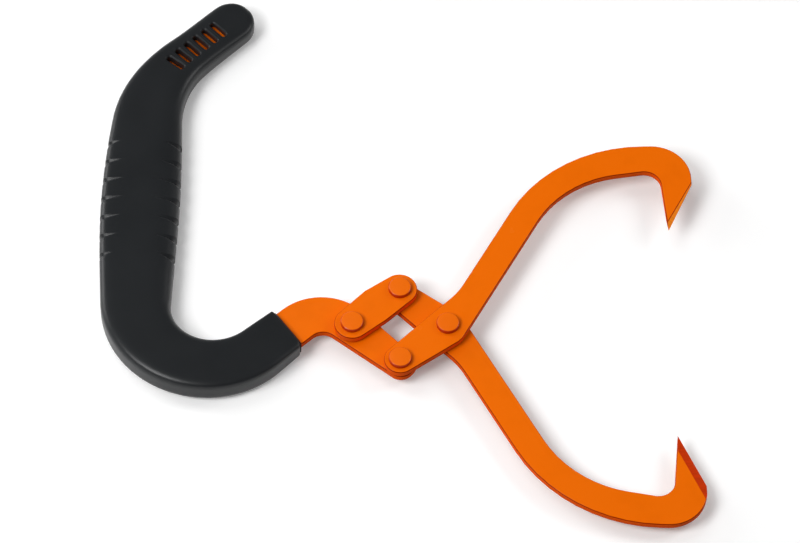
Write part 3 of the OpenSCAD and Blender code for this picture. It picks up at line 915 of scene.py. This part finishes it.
def ring_at(place, inset=0.0):
    """The ring of section points at a place along the grip, drawn in by inset."""
    point, angle = on_path(place)
    in_hand = hand_from < place <= last_notch
    slant = NECK_SLANT * max(0, 1 - place / NECK_LEN)
    across = knots[2][2] if in_hand else angle - slant
    short = max(0, LIP_LEN + CORNER_R - place)
    cut_corner = CORNER_R - math.sqrt(CORNER_R ** 2 - short ** 2) if short < CORNER_R else 0
    w = smooth(half_widths, place) - inset
    t = smooth(half_thicknesses, place) - inset
    ring = []
    for i in range(RING_POINTS):
        a = 2 * math.pi * i / RING_POINTS
        n = smooth(outer_squareness if math.cos(a) > 0 else inner_squareness, place)
        q = section_point(w, t, a, n)
        depth = notch_depth(place, q.x / w) if in_hand else 0
        if depth > 0:
            q -= section_normal(w, t, q, n) * depth
        x, y = leftward(point, across, q.x - cut_corner * max(0, q.x) / w)
        ring.append((x, y, grip_mid + q.y))
    return ring


def end_ring(a):
    """A ring of the round end, at an angle from 0 where it starts to 90 degrees at its tip."""
    w, t = half_widths[-1][1], half_thicknesses[-1][1]
    _, point, angle = knots[-1]
    at = forward(point, angle, w * math.sin(a))
    high = t * (1 - math.sin(a) ** END_SQUARENESS) ** (1 / END_SQUARENESS)
    ring = []
    for i in range(RING_POINTS):
        q = section_point(w * math.cos(a), high, 2 * math.pi * i / RING_POINTS, END_SQUARENESS)
        x, y = leftward(at, angle, q.x)
        ring.append((x, y, grip_mid + q.y))
    return ring


def steps(start, end, size):
    """Evenly spaced places from start up to but not including end."""
    count = math.ceil((end - start) / size)
    return [start + (end - start) * i / count for i in range(count)]


print("points in a ring:", len(ring_at(hand_mid)))

# %% [markdown]
# The moulding as one skin
# The rings lie every 2.5 mm where the grip is plain and every 0.4 mm across the notches, where
# fine rings keep the groove lines crisp. At the neck a low lip grips the bar, and behind it the
# neck is rolled in over a small radius. Towards its tip the round end turns faster, so the rings
# there stand closer.

# %% Grip body
PLAIN_STEP = 2.5
NOTCH_STEP = 0.4
CORNER_STEP = 0.4
NOTCH_MARGIN = 1
BEHIND_NOTCH = 0.5
LIP_INSET = 1.7
LIP_CHAMFER = 0.2
NECK_ROLL = 0.8
ROLL_STEPS = 5
END_ANGLES = (0, 8, 16, 24, 32, 40, 48, 55, 62, 68, 74, 79, 83, 86, 88.5)

lip = [(0, LIP_INSET + LIP_CHAMFER), (LIP_CHAMFER, LIP_INSET), (LIP_LEN, LIP_INSET)]
rings = [ring_at(place, inset) for place, inset in lip]
for k in range(ROLL_STEPS):
    a = math.pi / 2 * k / ROLL_STEPS
    rings.append(ring_at(LIP_LEN + NECK_ROLL * (1 - math.cos(a)), NECK_ROLL * (1 - math.sin(a))))
corner_end = LIP_LEN + CORNER_R
notches_from = first_notch - NOTCH_WALL - NOTCH_SLOPE - NOTCH_MARGIN
places = steps(LIP_LEN + NECK_ROLL, corner_end, CORNER_STEP)
places += steps(corner_end, notches_from, PLAIN_STEP)
places += steps(notches_from, last_notch, NOTCH_STEP)
places += [first_notch + k * NOTCH_PITCH for k in range(NOTCH_COUNT)]
places += steps(last_notch + BEHIND_NOTCH, path_len, PLAIN_STEP)
rings += [ring_at(place) for place in sorted(places)]
rings += [end_ring(math.radians(a)) for a in END_ANGLES]
body = bmesh.new()
rows = [[body.verts.new(Vector(p) * MM) for p in ring] for ring in rings]
for low, high in zip(rows, rows[1:]):
    for i in range(RING_POINTS):
        j = (i + 1) % RING_POINTS
        body.faces.new((low[i], low[j], high[j], high[i]))
body.faces.new(rows[0][::-1])
body.faces.new(rows[-1])
bmesh.ops.recalc_face_normals(body, faces=body.faces[:])
grip_mesh = bpy.data.meshes.new("grip_moulding")
body.to_mesh(grip_mesh)
body.free()
print("grip rings:", len(rings), "faces:", len(grip_mesh.polygons))

# %% [markdown]
# Channel and openings in the grip
# The bar lies in the moulding, and six slots with round ends show it in the top arm. Both are cut
# out with booleans: first the bar's own outline, then the slots from the bar's face upwards. A
# mould always has a small lead-in at such an opening, which is the flare at the top of each slot.

# %% Cutters and booleans
SLOT_W = 3.6
SLOT_LEN = 14
SLOT_END_STEPS = 12


def prism(levels):
    """A closed solid through outlines stacked at rising heights: levels are (outline, height)."""
    work = bmesh.new()
    stack = [[work.verts.new(Vector((p.x, p.y, z)) * MM) for p in points] for points, z in levels]
    count = len(stack[0])
    for low, high in zip(stack, stack[1:]):
        for i in range(count):
            work.faces.new((low[i], low[(i + 1) % count], high[(i + 1) % count], high[i]))
    work.faces.new(stack[0][::-1])
    work.faces.new(stack[-1])
    return work


def slot_outline(place, grow=0.0):
    """The outline of one slot across the grip, grown by some mm, counterclockwise."""
    point, angle = on_path(place)
    half = (SLOT_LEN - SLOT_W) / 2
    points = []
    for side in (1, -1):
        end = leftward(point, angle, side * half)
        for i in range(SLOT_END_STEPS + 1):
            turned = angle + side * 90 - 90 + 180 * i / SLOT_END_STEPS
            points.append(forward(end, turned, SLOT_W / 2 + grow))
    return points


def cut_away(mesh, cutters):
    """The mesh less the cutters, by an exact boolean."""
    blank = bpy.data.objects.new("blank", mesh)
    tool_mesh = bpy.data.meshes.new("tool")
    joined = bmesh.new()
    for cutter in cutters:
        part = bpy.data.meshes.new("part")
        cutter.to_mesh(part)
        cutter.free()
        joined.from_mesh(part)
        bpy.data.meshes.remove(part)
    joined.to_mesh(tool_mesh)
    joined.free()
    tool = bpy.data.objects.new("tool", tool_mesh)
    for thing in (blank, tool):
        bpy.context.scene.collection.objects.link(thing)
    cut = blank.modifiers.new("cut", "BOOLEAN")
    cut.operation = "DIFFERENCE"
    cut.solver = "EXACT"
    cut.object = tool
    evaluated = blank.evaluated_get(bpy.context.evaluated_depsgraph_get())
    result = bpy.data.meshes.new_from_object(evaluated)
    for thing in (blank, tool):
        bpy.data.objects.remove(thing)
    return result


print("a slot is", SLOT_LEN, "mm long and", SLOT_W, "mm wide")

# %% [markdown]
# Cutting and dressing the grip
# The bar's channel is as tall as the bar, so the moulding closes over both of its faces. Each slot
# starts in the middle of the bar and ends above the grip, flared over its last part. After the cuts
# the skin is shaded smooth, and only edges with a real crease stay sharp.

# %% Grip cuts
SLOT_COUNT = 6
SLOT_PITCH = 8
FIRST_SLOT = 12
RIM_FLARE = 0.5
GRIP_CREASE = math.radians(32)

channel = prism([(bar_loops[0], back_bottom), (bar_loops[0], back_top)])
grip_mesh = cut_away(grip_mesh, [channel])
slots = []
for i in range(SLOT_COUNT):
    place = path_len - FIRST_SLOT - i * SLOT_PITCH
    surface = grip_mid + smooth(half_thicknesses, place)
    slots.append(prism([
        (slot_outline(place), grip_mid), (slot_outline(place), surface - 2 * RIM_FLARE),
        (slot_outline(place, 3 * RIM_FLARE), surface + RIM_FLARE)]))
grip_mesh = cut_away(grip_mesh, slots)
grip_mesh.shade_smooth()
grip_mesh.set_sharp_from_angle(angle=GRIP_CREASE)
grip_mesh.name = "grip_moulding"
dress(grip_mesh, "grip_moulding", "grip", "moulded_grip", grip_plastic)

# %% [markdown]
# Seen and bounced light
# A floor can be pale to the eye and still throw back little light, if its material knows what kind
# of ray asks. One helper tells rays that see a surface from rays that carry bounced light, and both
# the floor and the surround use it.

# %% Ray helper


def seen_rays(tree):
    """1 for rays that see a surface directly, mirrored or through glass, 0 for bounced light."""
    rays = add_node(tree, "ShaderNodeLightPath")
    seen = add_node(tree, "ShaderNodeMath", {
        0: rays.outputs["Is Camera Ray"], 1: rays.outputs["Is Glossy Ray"]}, operation="MAXIMUM")
    seen = add_node(tree, "ShaderNodeMath", {
        0: seen.outputs[0], 1: rays.outputs["Is Transmission Ray"]}, operation="MAXIMUM")
    return seen.outputs[0]


print("rays that see a surface: camera, glossy and transmission")

# %% [markdown]
# Floor
# The tool lies on a plain pale floor, large enough to fill every view. It is pale to the eye and in
# reflections, with a faint speckle, and a mid grey as a source of bounced light, so that the orange
# doesn't wash out. It keeps the shadow that the tool throws on it.

# %% Floor
FLOOR_HALF = 6
FLOOR_GLOW = 0.16
SPECKLE_SPACING = 60
floor_mesh = bpy.data.meshes.new("floor")
floor_mesh.from_pydata(
    [(x * FLOOR_HALF, y * FLOOR_HALF, 0) for x, y in ((-1, -1), (1, -1), (1, 1), (-1, 1))],
    [], [(0, 1, 2, 3)])
floor = bpy.data.objects.new("floor", floor_mesh)
bpy.context.scene.collection.objects.link(floor)
floor_material, tree, place, output = new_material("pale_studio_floor")
speckle = add_node(tree, "ShaderNodeTexNoise", {
    "Vector": place, "Scale": per_metre(SPECKLE_SPACING)})
pale = add_node(tree, "ShaderNodeMix", {
    "Factor": speckle.outputs["Fac"], "A": linear("#F6F6F6"), "B": linear("#FAFAFA")},
    data_type="RGBA")
floor_colour = add_node(tree, "ShaderNodeMix", {
    "Factor": seen_rays(tree), "A": linear("#B0B0B0"), "B": pale.outputs["Result"]},
    data_type="RGBA")
glow = add_node(tree, "ShaderNodeMath", {0: seen_rays(tree), 1: FLOOR_GLOW}, operation="MULTIPLY")
floor_shader = add_node(tree, "ShaderNodeBsdfPrincipled", {
    "Base Color": floor_colour.outputs["Result"], "Roughness": 0.8, "Specular IOR Level": 0.2,
    "Emission Color": (1, 1, 1, 1), "Emission Strength": glow.outputs[0]})
tree.links.new(floor_shader.outputs["BSDF"], output.inputs["Surface"])
floor_mesh.materials.append(floor_material)
print("floor:", 2 * FLOOR_HALF, "m wide, finished in", floor_material.name)

# %% [markdown]
# Surround
# The eye sees the surround as white. In reflections it is pale at the horizon and dark overhead, so
# that the flat faces mirror little of it and the paint keeps its depth. As a source of light it is
# an even, weak fill.

# %% World
FILL = 0.16
OVERHEAD = 0.04
PALE_BELOW, DARK_ABOVE = 0.08, 0.3
world = bpy.data.worlds.new("studio")
bpy.context.scene.world = world
world.use_nodes = True
tree = world.node_tree
tree.nodes.clear()
direction = add_node(tree, "ShaderNodeTexCoord").outputs["Generated"]
height = add_node(tree, "ShaderNodeSeparateXYZ", {"Vector": direction}).outputs["Z"]
sky = add_node(tree, "ShaderNodeMapRange", {
    "Value": height, "From Min": PALE_BELOW, "From Max": DARK_ABOVE,
    "To Min": 1, "To Max": OVERHEAD}, interpolation_type="SMOOTHSTEP")
backdrop = add_node(tree, "ShaderNodeMix", {
    "Factor": add_node(tree, "ShaderNodeLightPath").outputs["Is Camera Ray"],
    "A": sky.outputs["Result"], "B": 1.0})
strength = add_node(tree, "ShaderNodeMix", {
    "Factor": seen_rays(tree), "A": FILL, "B": backdrop.outputs["Result"]})
surround = add_node(tree, "ShaderNodeBackground", {
    "Color": (1, 1, 1, 1), "Strength": strength.outputs["Result"]})
output = add_node(tree, "ShaderNodeOutputWorld", {"Surface": surround.outputs["Background"]})
print("surround:", world.name, "with a fill of", FILL)

# %% [markdown]
# Soft studio light
# The main light is a box high in front to the left. A larger and weaker one behind the tool shades
# the notches and reaches the bottom of the slots. It isn't mirrored, so the flat faces stay deep.
# A lower one at each side draws a line along the rolled edges.

# %% Soft boxes


def soft_box(name, at, size, watts):
    """A square area light that looks at the middle of the tool; at and size are in metres."""
    light = bpy.data.lights.new(name, "AREA")
    light.shape = "SQUARE"
    light.size = size
    light.energy = watts
    lamp = bpy.data.objects.new(name, light)
    lamp.location = at
    lamp.rotation_euler = (-Vector(at)).to_track_quat("-Z", "Y").to_euler()
    bpy.context.scene.collection.objects.link(lamp)
    print(f"{name}: {watts} W over {size} m")
    return lamp


soft_box("main_light", (-1.02, -0.66, 1.44), 0.8, 22.5)
soft_box("back_light", (-0.64, 0.8, 1.6), 1.1, 7).visible_glossy = False
soft_box("left_side", (-1.35, 0.75, 0.6), 0.7, 8)
soft_box("right_side", (1.22, 0.36, 1.08), 0.6, 6)
bpy.context.scene.view_settings.view_transform = "Standard"
